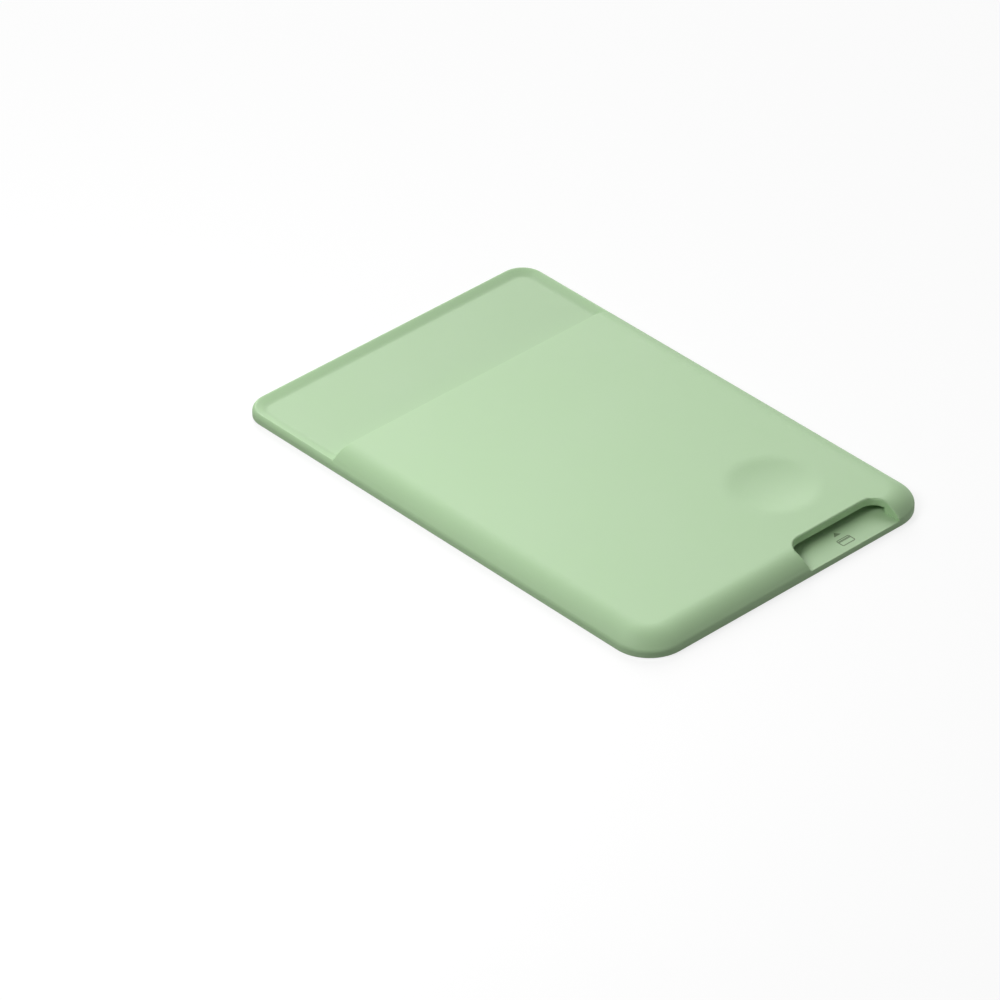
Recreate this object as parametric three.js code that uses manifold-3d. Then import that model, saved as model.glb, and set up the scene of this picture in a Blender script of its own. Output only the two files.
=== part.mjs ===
// Stick-on card holder: one moulded silicone body with a card slot, an open tray at the mouth,
// a thumb notch and a thumb dimple, and an adhesive sheet on its back.
// Millimetres. +Y runs towards the mouth, +Z points away from the adhesive.
// The origin is the middle of the adhesive's face.
import * as THREE from 'three';
import { mergeVertices } from 'three/addons/utils/BufferGeometryUtils.js';
import Module from 'manifold-3d';

const wasm = await Module();
wasm.setup();

// The card that the holder is made for, and the room round it
const CARD_LENGTH = 85.6;
const CARD_WIDTH = 54;
const CARD_THICKNESS = 0.8;
const CARD_SIDE_CLEARANCE = 0.8;
const CARD_TOP_CLEARANCE = 0.15;
const CARD_END_ROOM = 5.15;

// Walls of the moulded body
const SIDE_WALL = 4.2;
const END_WALL = 3.45;
const FLOOR_THICKNESS = 1.1;
const SKIN_THICKNESS = 1.4;
const NOTCH_END_CORNER_RADIUS = 7;
const MOUTH_END_CORNER_RADIUS = 4.5;
const SLOT_CORNER_RADIUS = 3;

// Outer wall, rim of the tray and shoulder of the pocket
const WALL_HEIGHT = 0.9;
const RIM_HEIGHT = 0.6;
const RIM_WIDTH = 2.8;
const RIM_OUTER_RADIUS = 1;
const RIM_OUTER_TURN_DEG = 55;
const RIM_CREST_RADIUS = 0.25;
const RIM_INNER_SLOPE_DEG = 13;
const POCKET_EDGE_RADIUS = 0.9;
const SHOULDER_RADIUS = 6;
const TRAY_LENGTH = 22.35;

// Thumb notch in the closed end, and the dimple in line with it
const NOTCH_WIDTH = 20.3;
const NOTCH_DEPTH = 5.9;
const NOTCH_CORNER_RADIUS = 3;
const NOTCH_OFFSET = 14.25;
const DIMPLE_SETBACK = 13.1;
const DIMPLE_RADIUS = 8.8;
const DIMPLE_EDGE_WIDTH = 2.3;
const DIMPLE_DEPTH = 0.65;

// Adhesive sheet in its recess
const ADHESIVE_THICKNESS = 0.4;
const ADHESIVE_PROUD = 0.1;
const ADHESIVE_MARGIN = 2.8;
const RECESS_CLEARANCE = 0.3;

// Fineness of the curves
const CORNER_STEPS = 14;
const PROFILE_STEP_DEG = 7;
const PROFILE_LEAST_STEPS = 6;
const RIM_INNER_STEPS = 12;
const DIMPLE_SIDES = 56;
const CUTTER_OVERRUN = 6;
const SMALLEST_CORNER = 0.2;

const WIDTH = CARD_WIDTH + 2 * (CARD_SIDE_CLEARANCE + SIDE_WALL);
const LENGTH = END_WALL + CARD_LENGTH + CARD_END_ROOM + RIM_WIDTH;
const SLOT_WIDTH = WIDTH - 2 * SIDE_WALL;
const BACK_Z = ADHESIVE_PROUD;
const FLOOR_Z = BACK_Z + FLOOR_THICKNESS;
const WALL_TOP_Z = BACK_Z + WALL_HEIGHT;
const RIM_TOP_Z = FLOOR_Z + RIM_HEIGHT;
const SLOT_TOP_Z = FLOOR_Z + CARD_THICKNESS + CARD_TOP_CLEARANCE;
const TOP_Z = SLOT_TOP_Z + SKIN_THICKNESS;
const NOTCH_END_Y = -LENGTH / 2;
const MOUTH_END_Y = LENGTH / 2;
const MOUTH_Y = MOUTH_END_Y - TRAY_LENGTH;
const NOTCH_BACK_Y = NOTCH_END_Y + NOTCH_DEPTH;
const DIMPLE_Y = NOTCH_BACK_Y + DIMPLE_SETBACK;

// Points of a rounded rectangle between two ends, counterclockwise, moved in by an inset
function roundedOutline({ width, lowY, highY, lowRadius, highRadius, inset = 0 }) {
  const low = Math.max(lowRadius - inset, SMALLEST_CORNER);
  const high = Math.max(highRadius - inset, SMALLEST_CORNER);
  const halfX = width / 2 - inset;
  const corners = [
    { x: halfX - low, y: lowY + inset + low, radius: low, start: -Math.PI / 2 },
    { x: halfX - high, y: highY - inset - high, radius: high, start: 0 },
    { x: high - halfX, y: highY - inset - high, radius: high, start: Math.PI / 2 },
    { x: low - halfX, y: lowY + inset + low, radius: low, start: Math.PI },
  ];
  const points = [];
  for (const corner of corners) {
    for (let step = 0; step <= CORNER_STEPS; step += 1) {
      const angle = corner.start + (Math.PI / 2) * (step / CORNER_STEPS);
      points.push(new THREE.Vector2(
        corner.x + corner.radius * Math.cos(angle),
        corner.y + corner.radius * Math.sin(angle),
      ));
    }
  }
  return points;
}

// Outline of the whole body, moved in by an inset
function bodyOutline(inset) {
  return roundedOutline({
    width: WIDTH,
    lowY: NOTCH_END_Y,
    highY: MOUTH_END_Y,
    lowRadius: NOTCH_END_CORNER_RADIUS,
    highRadius: MOUTH_END_CORNER_RADIUS,
    inset,
  });
}

// Outline of the pocket, which runs on past the mouth so that it can be cut off straight there
function pocketOutline(inset) {
  return roundedOutline({
    width: WIDTH,
    lowY: NOTCH_END_Y,
    highY: MOUTH_Y + CUTTER_OVERRUN + NOTCH_END_CORNER_RADIUS,
    lowRadius: NOTCH_END_CORNER_RADIUS,
    highRadius: NOTCH_END_CORNER_RADIUS,
    inset,
  });
}

// Profile points are { inset, z }: how far in from the outline, and how high.
// An arc turns from one angle to another, both measured from the horizontal at its centre.
function arcProfile(centreInset, centreZ, radius, fromAngle, toAngle) {
  const step = THREE.MathUtils.degToRad(PROFILE_STEP_DEG);
  const count = Math.max(PROFILE_LEAST_STEPS, Math.ceil(Math.abs(toAngle - fromAngle) / step));
  const points = [];
  for (let index = 0; index <= count; index += 1) {
    const angle = fromAngle + (toAngle - fromAngle) * (index / count);
    points.push({
      inset: centreInset - radius * Math.cos(angle),
      z: centreZ + radius * Math.sin(angle),
    });
  }
  return points;
}

// A level crest that rounds over and eases out into a level floor: two arcs with one tangent
function easeDown(startInset, startZ, convexRun, concaveRun, drop) {
  const slope = 2 * Math.atan(drop / (convexRun + concaveRun));
  const convexRadius = convexRun / Math.sin(slope);
  const concaveRadius = concaveRun / Math.sin(slope);
  const level = Math.PI / 2;
  const endInset = startInset + convexRun + concaveRun;
  const convex = arcProfile(startInset, startZ - convexRadius, convexRadius, level, level + slope);
  const concave = arcProfile(
    endInset, startZ - drop + concaveRadius, -concaveRadius, level + slope, level,
  );
  return [...convex, ...concave.slice(1)];
}

// A closed solid through a stack of like outlines, with a flat face on its first and last
function loft(outlineAt, profile) {
  const rings = profile.map(({ inset, z }) => outlineAt(inset).map((p) => [p.x, p.y, z]));
  const count = rings[0].length;
  const positions = rings.flat(2);
  const indices = [];
  for (let ring = 0; ring < rings.length - 1; ring += 1) {
    for (let side = 0; side < count; side += 1) {
      const next = (side + 1) % count;
      const low = ring * count;
      const high = low + count;
      indices.push(low + side, low + next, high + next);
      indices.push(low + side, high + next, high + side);
    }
  }
  const last = (rings.length - 1) * count;
  for (let side = 1; side < count - 1; side += 1) {
    indices.push(0, side + 1, side);
    indices.push(last, last + side, last + side + 1);
  }
  const geometry = new THREE.BufferGeometry();
  geometry.setAttribute('position', new THREE.Float32BufferAttribute(positions, 3));
  geometry.setIndex(indices);
  return geometry;
}

// A straight-sided solid over an outline, between two heights
function prism(points, lowZ, highZ) {
  return loft(() => points, [{ inset: 0, z: lowZ }, { inset: 0, z: highZ }]);
}

function toSolid(geometry) {
  const bare = geometry.clone();
  bare.deleteAttribute('normal');
  bare.deleteAttribute('uv');
  const merged = mergeVertices(bare);
  const corners = merged.index.array;
  const triangles = [];
  for (let at = 0; at < corners.length; at += 3) {
    const [a, b, c] = corners.slice(at, at + 3);
    if (a !== b && b !== c && c !== a) {
      triangles.push(a, b, c);
    }
  }
  return new wasm.Manifold(new wasm.Mesh({
    numProp: 3,
    vertProperties: new Float32Array(merged.attributes.position.array),
    triVerts: new Uint32Array(triangles),
  }));
}

function toGeometry(solid) {
  const mesh = solid.getMesh();
  const geometry = new THREE.BufferGeometry();
  geometry.setAttribute('position', new THREE.BufferAttribute(mesh.vertProperties, 3));
  geometry.setIndex(new THREE.BufferAttribute(mesh.triVerts, 1));
  geometry.computeVertexNormals();
  return geometry;
}

// All the space past the mouth, where the tray takes over from the pocket
function makeSpacePastMouth() {
  const outline = roundedOutline({
    width: WIDTH + 2 * CUTTER_OVERRUN,
    lowY: MOUTH_Y,
    highY: MOUTH_END_Y + CUTTER_OVERRUN,
    lowRadius: SMALLEST_CORNER,
    highRadius: SMALLEST_CORNER,
  });
  return toSolid(prism(outline, -CUTTER_OVERRUN, TOP_Z + CUTTER_OVERRUN));
}

// Section of the tray's rim: rounded outside, a tight crest, and an inner side that eases into the floor
function rimProfile() {
  const outerTurn = THREE.MathUtils.degToRad(RIM_OUTER_TURN_DEG);
  const innerSlope = THREE.MathUtils.degToRad(RIM_INNER_SLOPE_DEG);
  const radiusDrop = RIM_OUTER_RADIUS - RIM_CREST_RADIUS;
  const crestZ = RIM_TOP_Z - RIM_CREST_RADIUS;
  const crestInset = RIM_OUTER_RADIUS - radiusDrop * Math.cos(outerTurn);
  const outerZ = crestZ - radiusDrop * Math.sin(outerTurn);
  const crestEnd = Math.PI / 2 + innerSlope;
  const outer = arcProfile(RIM_OUTER_RADIUS, outerZ, RIM_OUTER_RADIUS, 0, outerTurn);
  const crest = arcProfile(crestInset, crestZ, RIM_CREST_RADIUS, outerTurn, crestEnd);
  const top = crest[crest.length - 1];
  const third = (RIM_WIDTH - top.inset) / 3;
  const inner = new THREE.CubicBezierCurve(
    new THREE.Vector2(top.inset, top.z),
    new THREE.Vector2(top.inset + third, top.z - third * Math.tan(innerSlope)),
    new THREE.Vector2(RIM_WIDTH - third, FLOOR_Z),
    new THREE.Vector2(RIM_WIDTH, FLOOR_Z),
  );
  const innerPoints = inner.getPoints(RIM_INNER_STEPS).map((p) => ({ inset: p.x, z: p.y }));
  return [...outer, ...crest.slice(1), ...innerPoints.slice(1)];
}

// Open tray past the mouth: a floor plate framed by a low rim
function makeTray() {
  const profile = [{ inset: 0, z: BACK_Z }, ...rimProfile()];
  return toSolid(loft(bodyOutline, profile)).intersect(makeSpacePastMouth());
}

// Raised pocket: a straight wall, a small edge radius and a wide shoulder, tangent all the way
function makePocket() {
  const shoulderZ = TOP_Z - SHOULDER_RADIUS;
  const radiusDrop = SHOULDER_RADIUS - POCKET_EDGE_RADIUS;
  const shoulderInset = POCKET_EDGE_RADIUS
    + Math.sqrt(radiusDrop ** 2 - (WALL_TOP_Z - shoulderZ) ** 2);
  const join = Math.atan2(WALL_TOP_Z - shoulderZ, shoulderInset - POCKET_EDGE_RADIUS);
  const profile = [
    { inset: 0, z: BACK_Z },
    ...arcProfile(POCKET_EDGE_RADIUS, WALL_TOP_Z, POCKET_EDGE_RADIUS, 0, join),
    ...arcProfile(shoulderInset, shoulderZ, SHOULDER_RADIUS, join, Math.PI / 2).slice(1),
  ];
  return toSolid(loft(pocketOutline, profile)).subtract(makeSpacePastMouth());
}

// Room for the card under the skin: closed at the notch end and open at the mouth
function makeSlotCutter() {
  const outline = roundedOutline({
    width: SLOT_WIDTH,
    lowY: NOTCH_END_Y + END_WALL,
    highY: MOUTH_Y + CUTTER_OVERRUN,
    lowRadius: SLOT_CORNER_RADIUS,
    highRadius: SMALLEST_CORNER,
  });
  return toSolid(prism(outline, FLOOR_Z, SLOT_TOP_Z));
}

// Thumb notch: cuts the end wall and the skin down to the floor
function makeNotchCutter() {
  const outline = roundedOutline({
    width: NOTCH_WIDTH,
    lowY: NOTCH_END_Y - CUTTER_OVERRUN,
    highY: NOTCH_BACK_Y,
    lowRadius: SMALLEST_CORNER,
    highRadius: NOTCH_CORNER_RADIUS,
  });
  const cutter = prism(outline, FLOOR_Z, TOP_Z + CUTTER_OVERRUN);
  return toSolid(cutter.translate(NOTCH_OFFSET, 0, 0));
}

// Shallow round dimple whose edge eases into the top
function makeDimpleCutter() {
  const bowlWidth = DIMPLE_RADIUS - DIMPLE_EDGE_WIDTH;
  const section = easeDown(0, 0, DIMPLE_EDGE_WIDTH, bowlWidth, DIMPLE_DEPTH)
    .map(({ inset, z }) => new THREE.Vector2(DIMPLE_RADIUS - inset, z))
    .reverse();
  section[0].x = 0;
  section.push(new THREE.Vector2(DIMPLE_RADIUS, CUTTER_OVERRUN));
  section.push(new THREE.Vector2(0, CUTTER_OVERRUN));
  const cutter = new THREE.LatheGeometry(section, DIMPLE_SIDES).rotateX(Math.PI / 2);
  return toSolid(cutter.translate(NOTCH_OFFSET, DIMPLE_Y, TOP_Z));
}

// Shallow recess that takes the adhesive sheet
function makeRecessCutter() {
  const outline = bodyOutline(ADHESIVE_MARGIN - RECESS_CLEARANCE);
  return toSolid(prism(outline, -CUTTER_OVERRUN, ADHESIVE_THICKNESS));
}

function makePocketBody() {
  const solid = makeTray()
    .add(makePocket())
    .subtract(makeSlotCutter())
    .subtract(makeNotchCutter())
    .subtract(makeDimpleCutter())
    .subtract(makeRecessCutter());
  const silicone = new THREE.MeshStandardMaterial({
    color: new THREE.Color(0.76, 0.87, 0.72),
    roughness: 0.6,
    metalness: 0,
  });
  const mesh = new THREE.Mesh(toGeometry(solid), silicone);
  mesh.name = 'pocket_body';
  return mesh;
}

// Die-cut double-sided sheet that sticks the body to a flat surface
function makeAdhesiveSheet() {
  const acrylic = new THREE.MeshStandardMaterial({
    color: new THREE.Color(0.88, 0.88, 0.85),
    roughness: 0.45,
    metalness: 0,
  });
  const mesh = new THREE.Mesh(prism(bodyOutline(ADHESIVE_MARGIN), 0, ADHESIVE_THICKNESS), acrylic);
  mesh.name = 'adhesive_sheet';
  return mesh;
}

const holder = new THREE.Group();
holder.add(makePocketBody(), makeAdhesiveSheet());

export default holder;
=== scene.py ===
"""Looks of a stick-on card holder: one moulded silicone pocket with an adhesive sheet on its back.

Metres, in the frame's own axes: +Y towards the mouth, +Z away from the adhesive, whose face is z = 0.
"""

import math

import bmesh
import bpy
from mathutils import Matrix, Vector

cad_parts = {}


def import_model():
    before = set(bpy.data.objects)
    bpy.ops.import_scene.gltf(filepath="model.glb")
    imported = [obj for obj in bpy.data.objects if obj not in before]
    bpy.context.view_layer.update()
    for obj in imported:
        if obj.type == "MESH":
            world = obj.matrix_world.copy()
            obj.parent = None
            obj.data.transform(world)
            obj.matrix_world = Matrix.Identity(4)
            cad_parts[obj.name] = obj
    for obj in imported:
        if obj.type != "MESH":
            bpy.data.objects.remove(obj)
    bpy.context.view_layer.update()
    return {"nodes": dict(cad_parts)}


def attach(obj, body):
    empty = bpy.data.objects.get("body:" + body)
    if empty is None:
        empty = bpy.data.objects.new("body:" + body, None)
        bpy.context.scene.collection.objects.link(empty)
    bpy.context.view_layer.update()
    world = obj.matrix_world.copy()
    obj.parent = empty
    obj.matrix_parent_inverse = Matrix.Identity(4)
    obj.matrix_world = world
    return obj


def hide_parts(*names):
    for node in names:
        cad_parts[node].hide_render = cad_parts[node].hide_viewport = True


MM = 0.001

# Camera: where it looks, from which side, and how long its lens is
SENSOR_WIDTH_MM = 36.0
LENS_MM = 247.72
CLIP_START = 0.01
CLIP_END = 20.0
TARGET = Vector((-17.5, 1.2, 0.0)) * MM
CAMERA_DISTANCE = 1117.7 * MM
CAMERA_HEADING_DEG = 47.21
CAMERA_ELEVATION_DEG = 35.26
CAMERA_ROLL_DEG = 0.19

# Lights: the heading and height that each comes from, its distance, width and power
LIGHTS = {
    "key": {"heading": 50.0, "elevation": 38.0, "distance": 1.5, "size": 0.8, "power": 10.0},
    "back": {"heading": 60.0, "elevation": 22.0, "distance": 1.5, "size": 0.6, "power": 6.0},
    "left": {"heading": 170.0, "elevation": 48.0, "distance": 0.25, "size": 0.12, "power": 0.305},
    "front": {"heading": 280.0, "elevation": 12.0, "distance": 1.5, "size": 0.4, "power": 2.05},
}
WORLD_STRENGTH = 0.1
WHITE = (1.0, 1.0, 1.0, 1.0)

# Pale ground: what it throws back, and how it is seen, as a glow and a share of light and shadow
GROUND_WIDTH = 3.0
GROUND_Z = -0.05 * MM
GROUND_BOUNCE = (0.55, 0.55, 0.55)
GROUND_GLOW = 0.8
GROUND_LIT = (0.53, 0.53, 0.53)

# Colours as they look on screen
SILICONE_GREEN = (0.70, 0.832, 0.65)
MARK_GREEN = (0.43, 0.53, 0.38)
ADHESIVE_WHITE = (0.86, 0.86, 0.83)

# Silicone: faint clouds of tone and sheen, a fine grain, and a little light under the skin
CLOUD_SCALE = 60.0
CLOUD_DETAIL = 3.0
CLOUD_DARKER = 0.985
CLOUD_LIGHTER = 1.02
SILICONE_ROUGHNESS = (0.56, 0.64)
GRAIN_SCALE = 4500.0
GRAIN_DETAIL = 2.0
GRAIN_STRENGTH = 0.25
GRAIN_DEPTH = 0.02 * MM
SKIN_SHARE = 0.15
SKIN_DEPTH = 1.0 * MM
SKIN_REACH = (1.0, 1.2, 0.8)
MARK_ROUGHNESS = (0.55, 0.65)

# Adhesive: a pebbled face, glossier than the silicone
PEBBLE_SCALE = 2200.0
PEBBLE_DETAIL = 4.0
PEBBLE_STRENGTH = 0.4
PEBBLE_DEPTH = 0.03 * MM
ADHESIVE_ROUGHNESS = (0.3, 0.46)

# Floor plate of the holder: its level, and painted shade on its level faces below a height, standing in
# for the shade in the recessed floor
PLATE_Z = 1.2 * MM
PLATE_PAINTED_SHADE = 0.925
PAINTED_SHADE_FULL_Z = 1.25 * MM
PAINTED_SHADE_ENDS_Z = 1.5 * MM
UPRIGHT_FACING = 0.6
LEVEL_FACING = 0.95

# Mark on the notch's floor, a hair proud of it: an arrow over a plain card
MARK_HEIGHT = 0.02 * MM
NOTCH_MIDDLE_X = 14.25 * MM
ARROW_Y = -44.0 * MM
ARROW_WIDTH = 1.5 * MM
ARROW_LENGTH = 0.9 * MM
CARD_Y = -46.3 * MM
CARD_WIDTH = 2.9 * MM
CARD_HEIGHT = 1.8 * MM
CARD_CORNER = 0.35 * MM
CARD_CORNER_STEPS = 6
CARD_LINE = 0.2 * MM

# Meshes as they come from the frame: what is one corner, and what is one flat face
WELD_DISTANCE = 0.0005 * MM
FLAT_ANGLE_DEG = 0.05

# Softened edges: full radius, the height over which it fades in, and what each kind of edge gets
EDGE_RADIUS = 0.3 * MM
EDGE_STEPS = 4
FADE_FROM_Z = 1.9 * MM
FADE_TO_Z = 2.9 * MM
MOUTH_EDGE_SHARE = 0.3
BACK_EDGE_SHARE = 0.25
WALL_FACING = 0.2
TOP_FACING = 0.25
SQUARE_FACING = 0.9
LEAST_CORNER_DEG = 40.0
SHEET_EDGE_RADIUS = 0.06 * MM
SHEET_EDGE_STEPS = 3
SHEET_CORNER_DEG = 50.0
SHARP_ANGLE_DEG = 32.0


def linear(colour):
    """The linear value of a colour given as it looks on screen."""
    return tuple(c / 12.92 if c <= 0.04045 else ((c + 0.055) / 1.055) ** 2.4 for c in colour)


def rgba(colour):
    return (*linear(colour), 1.0)


def direction(heading_deg, elevation_deg):
    """A unit vector that points along a heading on the ground and up from it."""
    heading = math.radians(heading_deg)
    elevation = math.radians(elevation_deg)
    flat = math.cos(elevation)
    return Vector((flat * math.cos(heading), flat * math.sin(heading), math.sin(elevation)))


def link(obj):
    bpy.context.scene.collection.objects.link(obj)
    return obj


# Camera and light

def make_camera():
    data = bpy.data.cameras.new("camera")
    data.sensor_width = SENSOR_WIDTH_MM
    data.lens = LENS_MM
    data.clip_start = CLIP_START
    data.clip_end = CLIP_END
    camera = link(bpy.data.objects.new("camera", data))
    away = direction(CAMERA_HEADING_DEG + 180.0, CAMERA_ELEVATION_DEG)
    camera.location = TARGET + away * CAMERA_DISTANCE
    aim = (-away).to_track_quat("-Z", "Y").to_matrix()
    roll = Matrix.Rotation(math.radians(-CAMERA_ROLL_DEG), 3, "Z")
    camera.rotation_euler = (aim @ roll).to_euler()
    bpy.context.scene.camera = camera


def make_area_light(name, heading, elevation, distance, size, power):
    data = bpy.data.lights.new(name, "AREA")
    data.shape = "DISK"
    data.size = size
    data.energy = power
    lamp = link(bpy.data.objects.new(name, data))
    toward = direction(heading, elevation)
    lamp.location = toward * distance
    lamp.visible_camera = False
    lamp.rotation_euler = toward.to_track_quat("Z", "Y").to_euler()


def larger_of(nodes, links, first, second):
    node = nodes.new("ShaderNodeMath")
    node.operation = "MAXIMUM"
    links.new(first, node.inputs[0])
    links.new(second, node.inputs[1])
    return node.outputs[0]


def seen_rays(nodes, links):
    """A value of 1 for camera, glossy and transmission rays, and 0 for the rest."""
    path = nodes.new("ShaderNodeLightPath").outputs
    seen = larger_of(nodes, links, path["Is Camera Ray"], path["Is Glossy Ray"])
    return larger_of(nodes, links, seen, path["Is Transmission Ray"])


def mix_by_ray(nodes, links, lighting, seen, output):
    """Sends one shader to the rays that are seen and another to those that carry light."""
    mix = nodes.new("ShaderNodeMixShader")
    links.new(seen_rays(nodes, links), mix.inputs[0])
    links.new(lighting, mix.inputs[1])
    links.new(seen, mix.inputs[2])
    links.new(mix.outputs[0], nodes.new(output).inputs["Surface"])


def make_world():
    world = bpy.data.worlds.new("studio")
    bpy.context.scene.world = world
    world.use_nodes = True
    nodes = world.node_tree.nodes
    links = world.node_tree.links
    nodes.clear()
    lighting = nodes.new("ShaderNodeBackground")
    lighting.inputs["Color"].default_value = WHITE
    lighting.inputs["Strength"].default_value = WORLD_STRENGTH
    seen = nodes.new("ShaderNodeBackground")
    seen.inputs["Color"].default_value = WHITE
    seen.inputs["Strength"].default_value = 1.0
    mix_by_ray(nodes, links, lighting.outputs[0], seen.outputs[0], "ShaderNodeOutputWorld")


def make_ground():
    bpy.ops.mesh.primitive_plane_add(size=GROUND_WIDTH, location=(0.0, 0.0, GROUND_Z))
    ground = bpy.context.object
    ground.name = "floor"
    material = bpy.data.materials.new("floor_paper")
    material.use_nodes = True
    nodes = material.node_tree.nodes
    links = material.node_tree.links
    nodes.clear()
    bounce = nodes.new("ShaderNodeBsdfDiffuse")
    bounce.inputs["Color"].default_value = rgba(GROUND_BOUNCE)
    glow = nodes.new("ShaderNodeEmission")
    glow.inputs["Strength"].default_value = GROUND_GLOW
    lit = nodes.new("ShaderNodeBsdfDiffuse")
    lit.inputs["Color"].default_value = rgba(GROUND_LIT)
    seen = nodes.new("ShaderNodeAddShader")
    links.new(glow.outputs[0], seen.inputs[0])
    links.new(lit.outputs[0], seen.inputs[1])
    mix_by_ray(nodes, links, bounce.outputs[0], seen.outputs[0], "ShaderNodeOutputMaterial")
    ground.data.materials.append(material)


# Materials

def new_principled(name, colour):
    material = bpy.data.materials.new(name)
    material.use_nodes = True
    shader = material.node_tree.nodes["Principled BSDF"]
    shader.inputs["Base Color"].default_value = rgba(colour)
    return material, shader


def add_noise(material, scale, detail):
    """Noise that keeps its size in metres wherever the object stands."""
    nodes = material.node_tree.nodes
    place = nodes.new("ShaderNodeTexCoord")
    noise = nodes.new("ShaderNodeTexNoise")
    noise.inputs["Scale"].default_value = scale
    noise.inputs["Detail"].default_value = detail
    material.node_tree.links.new(place.outputs["Object"], noise.inputs["Vector"])
    return noise.outputs["Fac"]


def add_range(material, source, low, high):
    spread = material.node_tree.nodes.new("ShaderNodeMapRange")
    spread.inputs["To Min"].default_value = low
    spread.inputs["To Max"].default_value = high
    material.node_tree.links.new(source, spread.inputs["Value"])
    return spread.outputs["Result"]


def add_share(material, source, none_at, full_at):
    """A share that runs from 0 where the source is none_at to 1 where it is full_at."""
    share = material.node_tree.nodes.new("ShaderNodeMapRange")
    share.inputs["From Min"].default_value = none_at
    share.inputs["From Max"].default_value = full_at
    material.node_tree.links.new(source, share.inputs["Value"])
    return share.outputs["Result"]


def set_roughness(material, shader, source, limits):
    material.node_tree.links.new(add_range(material, source, *limits), shader.inputs["Roughness"])


def add_bump(material, shader, source, strength, depth):
    links = material.node_tree.links
    bump = material.node_tree.nodes.new("ShaderNodeBump")
    bump.inputs["Strength"].default_value = strength
    bump.inputs["Distance"].default_value = depth
    links.new(source, bump.inputs["Height"])
    links.new(bump.outputs["Normal"], shader.inputs["Normal"])


def add_painted_plate_shade(material):
    """Painted shade: a factor that darkens level faces of the floor plate, standing in for the shade in
    the recessed floor, and is 1 on all that is higher or upright.
    """
    nodes = material.node_tree.nodes
    links = material.node_tree.links
    place = nodes.new("ShaderNodeTexCoord")
    point = nodes.new("ShaderNodeSeparateXYZ")
    facing = nodes.new("ShaderNodeSeparateXYZ")
    links.new(place.outputs["Object"], point.inputs[0])
    links.new(place.outputs["Normal"], facing.inputs[0])
    low = add_share(material, point.outputs["Z"], PAINTED_SHADE_ENDS_Z, PAINTED_SHADE_FULL_Z)
    level = add_share(material, facing.outputs["Z"], UPRIGHT_FACING, LEVEL_FACING)
    both = nodes.new("ShaderNodeMath")
    both.operation = "MULTIPLY"
    links.new(low, both.inputs[0])
    links.new(level, both.inputs[1])
    return add_range(material, both.outputs[0], 1.0, PLATE_PAINTED_SHADE)


def add_clouded_green(material, cloud):
    """The silicone's green, a little darker and lighter in clouds."""
    tint = material.node_tree.nodes.new("ShaderNodeMix")
    tint.data_type = "RGBA"
    tint.inputs["A"].default_value = rgba(tuple(c * CLOUD_DARKER for c in SILICONE_GREEN))
    tint.inputs["B"].default_value = rgba(tuple(c * CLOUD_LIGHTER for c in SILICONE_GREEN))
    material.node_tree.links.new(cloud, tint.inputs["Factor"])
    return tint.outputs["Result"]


def make_silicone():
    """Matte moulded silicone: very fine grain, a faint unevenness of tone and sheen, and painted shade on
    the floor plate's level faces.
    """
    material, shader = new_principled("silicone", SILICONE_GREEN)
    links = material.node_tree.links
    grain = add_noise(material, GRAIN_SCALE, GRAIN_DETAIL)
    cloud = add_noise(material, CLOUD_SCALE, CLOUD_DETAIL)
    green_with_painted_shade = material.node_tree.nodes.new("ShaderNodeVectorMath")
    green_with_painted_shade.operation = "SCALE"
    links.new(add_clouded_green(material, cloud), green_with_painted_shade.inputs[0])
    # Painted shade: the clouded green is darkened on the floor plate's level faces, where shade falls in
    # the recess.
    links.new(add_painted_plate_shade(material), green_with_painted_shade.inputs["Scale"])
    links.new(green_with_painted_shade.outputs[0], shader.inputs["Base Color"])
    set_roughness(material, shader, cloud, SILICONE_ROUGHNESS)
    add_bump(material, shader, grain, GRAIN_STRENGTH, GRAIN_DEPTH)
    shader.inputs["Subsurface Weight"].default_value = SKIN_SHARE
    shader.inputs["Subsurface Scale"].default_value = SKIN_DEPTH
    shader.inputs["Subsurface Radius"].default_value = SKIN_REACH
    return material


def make_adhesive():
    """Acrylic foam sheet: off-white, finely pebbled, a little glossier than the silicone."""
    material, shader = new_principled("adhesive", ADHESIVE_WHITE)
    pebble = add_noise(material, PEBBLE_SCALE, PEBBLE_DETAIL)
    set_roughness(material, shader, pebble, ADHESIVE_ROUGHNESS)
    add_bump(material, shader, pebble, PEBBLE_STRENGTH, PEBBLE_DEPTH)
    return material


def make_mark_green():
    """The darker green of the mark, with an uneven sheen as fine as the silicone's grain."""
    material, shader = new_principled("mark", MARK_GREEN)
    grain = add_noise(material, GRAIN_SCALE, GRAIN_DETAIL)
    set_roughness(material, shader, grain, MARK_ROUGHNESS)
    return material


# The mark in the notch

def rounded_rectangle(width, height, corner):
    """Corner points of a rounded rectangle round the origin, counterclockwise."""
    points = []
    for quarter, (sign_x, sign_y) in enumerate(((1, -1), (1, 1), (-1, 1), (-1, -1))):
        for step in range(CARD_CORNER_STEPS + 1):
            angle = math.radians(90.0) * (quarter - 1 + step / CARD_CORNER_STEPS)
            x = sign_x * (width / 2 - corner) + corner * math.cos(angle)
            y = sign_y * (height / 2 - corner) + corner * math.sin(angle)
            points.append(Vector((x, y)))
    return points


def add_corners(work, points, place, z):
    return [work.verts.new((p.x + place.x, p.y + place.y, z)) for p in points]


def add_band(work, first, second):
    """Faces between two loops with as many corners each."""
    for index in range(len(first)):
        after = (index + 1) % len(first)
        work.faces.new((first[index], first[after], second[after], second[index]))


def add_plate(work, points, place):
    """A thin plate with the given outline, lying in the holder's floor plate and just above it."""
    low = add_corners(work, points, place, PLATE_Z - MARK_HEIGHT)
    high = add_corners(work, points, place, PLATE_Z + MARK_HEIGHT)
    work.faces.new(high)
    work.faces.new(list(reversed(low)))
    add_band(work, low, high)


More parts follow.
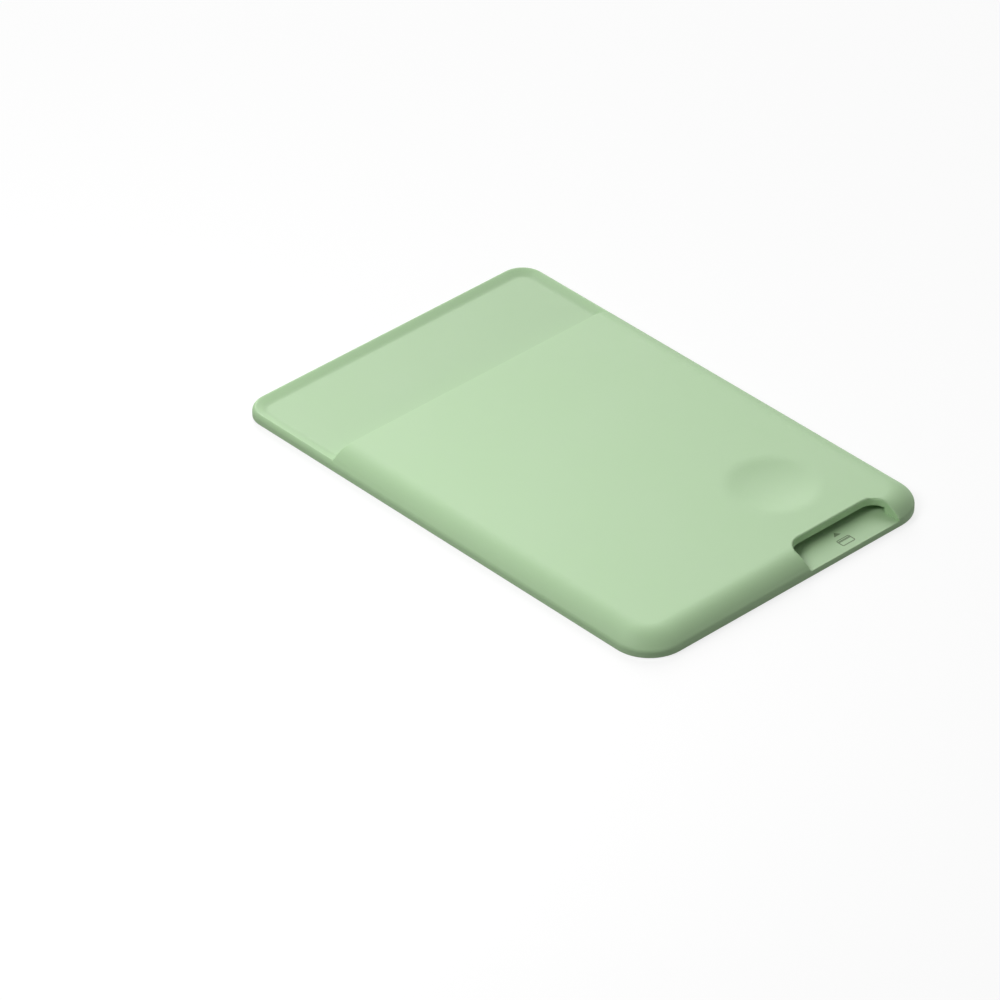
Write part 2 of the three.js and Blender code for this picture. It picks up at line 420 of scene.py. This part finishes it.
def add_ring(work, outer, inner, place):
    """A thin flat ring between two outlines with as many points each."""
    outer_low, outer_high, inner_low, inner_high = (
        add_corners(work, outline, place, z)
        for outline in (outer, inner)
        for z in (PLATE_Z - MARK_HEIGHT, PLATE_Z + MARK_HEIGHT)
    )
    add_band(work, outer_high, inner_high)
    add_band(work, outer_low, outer_high)
    add_band(work, inner_high, inner_low)
    add_band(work, inner_low, outer_low)


def add_arrow(work):
    arrow = [
        Vector((-ARROW_WIDTH / 2, -ARROW_LENGTH / 2)),
        Vector((ARROW_WIDTH / 2, -ARROW_LENGTH / 2)),
        Vector((0.0, ARROW_LENGTH / 2)),
    ]
    add_plate(work, arrow, Vector((NOTCH_MIDDLE_X, ARROW_Y)))


def add_card(work):
    """The outline of a card, and the stripe across its upper part."""
    place = Vector((NOTCH_MIDDLE_X, CARD_Y))
    inner_width = CARD_WIDTH - 2 * CARD_LINE
    inner_height = CARD_HEIGHT - 2 * CARD_LINE
    outer = rounded_rectangle(CARD_WIDTH, CARD_HEIGHT, CARD_CORNER)
    inner = rounded_rectangle(inner_width, inner_height, CARD_CORNER - CARD_LINE)
    add_ring(work, outer, inner, place)
    stripe = [
        Vector((sign_x * inner_width / 2, CARD_HEIGHT / 5 + sign_y * CARD_LINE))
        for sign_x, sign_y in ((-1, -1), (1, -1), (1, 1), (-1, 1))
    ]
    add_plate(work, stripe, place)


def make_mark(material):
    work = bmesh.new()
    add_arrow(work)
    add_card(work)
    mesh = bpy.data.meshes.new("notch_mark")
    bmesh.ops.recalc_face_normals(work, faces=work.faces)
    work.to_mesh(mesh)
    work.free()
    mark = link(bpy.data.objects.new("notch_mark", mesh))
    mesh.materials.append(material)
    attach(mark, "root")


# The moulded body and the sheet on its back

def copy_of(node, name):
    """A new object with a copy of a CAD node's mesh, its flat triangles joined into whole faces."""
    piece = link(bpy.data.objects.new(name, node.data.copy()))
    piece.data.materials.clear()
    work = bmesh.new()
    work.from_mesh(piece.data)
    bmesh.ops.remove_doubles(work, verts=work.verts, dist=WELD_DISTANCE)
    bmesh.ops.dissolve_limit(
        work, angle_limit=math.radians(FLAT_ANGLE_DEG), verts=work.verts, edges=work.edges,
    )
    work.to_mesh(piece.data)
    work.free()
    return piece


def fade(value, low, high):
    """0 below low, 1 above high, and a smooth rise between them."""
    share = min(1.0, max(0.0, (value - low) / (high - low)))
    return share * share * (3.0 - 2.0 * share)


def edge_share(edge):
    """The share of the full radius that an edge of the moulding gets."""
    if len(edge.link_faces) != 2 or not edge.is_convex:
        return 0.0
    lower, upper = sorted((face.normal for face in edge.link_faces), key=lambda n: n.z)
    middle = (edge.verts[0].co + edge.verts[1].co) / 2.0
    is_corner = lower.angle(upper) > math.radians(LEAST_CORNER_DEG)
    if abs(lower.z) < WALL_FACING and upper.z > TOP_FACING and is_corner:
        faces_mouth = lower.y > SQUARE_FACING
        return fade(middle.z, FADE_FROM_Z, FADE_TO_Z) * (MOUTH_EDGE_SHARE if faces_mouth else 1.0)
    meets_wall_below = lower.z < -SQUARE_FACING and abs(upper.z) < WALL_FACING
    faces_outward = upper.x * middle.x + upper.y * middle.y > 0.0
    return BACK_EDGE_SHARE if meets_wall_below and faces_outward else 0.0


def set_edge_shares(mesh):
    work = bmesh.new()
    work.from_mesh(mesh)
    work.normal_update()
    weight = work.edges.layers.float.new("bevel_weight_edge")
    for edge in work.edges:
        edge[weight] = edge_share(edge)
    work.to_mesh(mesh)
    work.free()


def soften_edges(piece, radius, steps, by_share):
    """Rounds edges, then makes the result the piece's own mesh, shaded smooth up to real corners."""
    bevel = piece.modifiers.new("soft_edges", "BEVEL")
    bevel.width = radius
    bevel.segments = steps
    bevel.limit_method = "WEIGHT" if by_share else "ANGLE"
    bevel.angle_limit = math.radians(SHEET_CORNER_DEG)
    bevel.use_clamp_overlap = False
    evaluated = piece.evaluated_get(bpy.context.evaluated_depsgraph_get())
    rounded = bpy.data.meshes.new_from_object(evaluated)
    piece.modifiers.clear()
    piece.data = rounded
    rounded.shade_smooth()
    rounded.set_sharp_from_angle(angle=math.radians(SHARP_ANGLE_DEG))
    even = piece.modifiers.new("even_shading", "WEIGHTED_NORMAL")
    even.keep_sharp = True


def hand_over(piece, material, node):
    """Dresses a piece and lets it stand for its CAD node."""
    piece.data.materials.clear()
    piece.data.materials.append(material)
    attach(piece, "root")
    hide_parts(node)


def make_body(frame, silicone):
    body = copy_of(frame["nodes"]["pocket_body"], "silicone_pocket")
    set_edge_shares(body.data)
    soften_edges(body, EDGE_RADIUS, EDGE_STEPS, by_share=True)
    hand_over(body, silicone, "pocket_body")


def make_sheet(frame, adhesive):
    sheet = copy_of(frame["nodes"]["adhesive_sheet"], "adhesive_film")
    soften_edges(sheet, SHEET_EDGE_RADIUS, SHEET_EDGE_STEPS, by_share=False)
    hand_over(sheet, adhesive, "adhesive_sheet")


def main():
    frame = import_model()
    bpy.context.scene.view_settings.view_transform = "Standard"
    make_camera()
    make_world()
    for name, light in LIGHTS.items():
        make_area_light(name, **light)
    make_ground()
    make_body(frame, make_silicone())
    make_sheet(frame, make_adhesive())
    make_mark(make_mark_green())


main()
